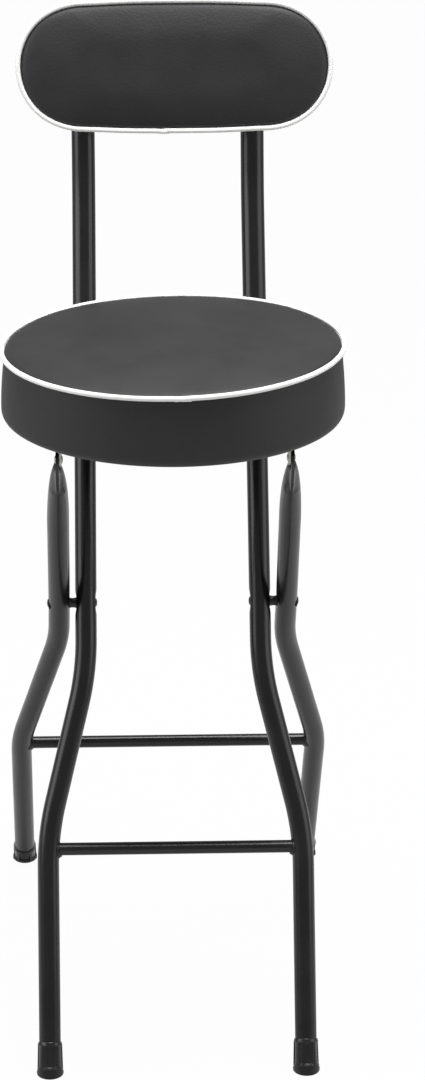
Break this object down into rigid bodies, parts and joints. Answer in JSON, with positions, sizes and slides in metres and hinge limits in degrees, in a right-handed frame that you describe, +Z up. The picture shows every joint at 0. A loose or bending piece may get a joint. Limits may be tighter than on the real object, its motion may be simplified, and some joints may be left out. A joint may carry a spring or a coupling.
{
  "type": "folding bar stool",
  "caption": "Folding bar stool with a round padded seat, a padded pill-shaped backrest and crossing bent-tube legs.",
  "frame": {"origin": "on the floor, under the middle of the whole stool's box", "axes": "+Z up, -Y towards the stool's front, +X to the right as seen from the front"},
  "size_m": [0.3506, 0.5548, 1.0212],
  "materials": {
    "frame_black": "glossy black powder coat on steel tube",
    "foot_rubber": "semi-matt moulded rubber",
    "rivet_black": "black painted steel rivet heads",
    "spacer_plastic": "black moulded nylon",
    "plug_plastic": "black moulded plastic",
    "seat_vinyl": "black leather-look vinyl with a fine grain",
    "piping_vinyl": "smooth white vinyl piping",
    "board_wood": "raw plywood",
    "under_cloth": "black non-woven cloth",
    "bracket_black": "black painted steel plate",
    "bracket_zinc": "bright zinc plated pressed steel",
    "screw_steel": "zinc plated steel",
    "cover_plastic": "black moulded plastic with a fine texture"
  },
  "bodies": {
    "front_frame": {"front_leg_left": "frame_black", "front_leg_right": "frame_black", "back_post_left": "frame_black", "back_post_right": "frame_black", "front_stretcher": "frame_black", "seat_rest_bar": "frame_black", "front_foot_left": "foot_rubber", "front_foot_right": "foot_rubber", "pivot_rivet_left": "rivet_black", "pivot_rivet_right": "rivet_black", "pivot_spacer_left": "spacer_plastic", "pivot_spacer_right": "spacer_plastic", "pivot_washers": "rivet_black", "post_joint_screws": "rivet_black", "post_plugs": "plug_plastic", "backrest_cushion": "seat_vinyl", "backrest_piping": "piping_vinyl", "backrest_board": "board_wood", "backrest_rear_cover": "cover_plastic", "backrest_nuts": "screw_steel", "backrest_bolts": "rivet_black"},
    "rear_frame": {"rear_stretcher": "frame_black", "rear_leg_left": "frame_black", "rear_leg_right": "frame_black", "rear_foot_left": "foot_rubber", "rear_foot_right": "foot_rubber"},
    "seat": {"seat_cushion": "seat_vinyl", "seat_piping": "piping_vinyl", "seat_board": "board_wood", "seat_under_cloth": "under_cloth", "hinge_bracket_left": "bracket_zinc", "hinge_bracket_right": "bracket_zinc", "hinge_rivet_left": "bracket_zinc", "hinge_rivet_right": "bracket_zinc", "hinge_washers": "spacer_plastic", "hinge_bracket_screws": "screw_steel", "hook_screws": "screw_steel", "seat_hook_left": "bracket_black", "seat_hook_right": "bracket_black"}
  },
  "joints": [
    {"name": "leg_fold", "type": "hinge", "parent": "front_frame", "child": "rear_frame", "pos_m": [0, -0.04445, 0.4345], "axis": [-1, 0, 0], "range_deg": [0, 52]},
    {"name": "seat_flip", "type": "hinge", "parent": "rear_frame", "child": "seat", "pos_m": [0, -0.18942, 0.641], "axis": [1, 0, 0], "range_deg": [0, 130]}
  ],
  "couplings": [
    {"joint": "seat_flip", "follows": "leg_fold", "ratio": 2.5}
  ]
}
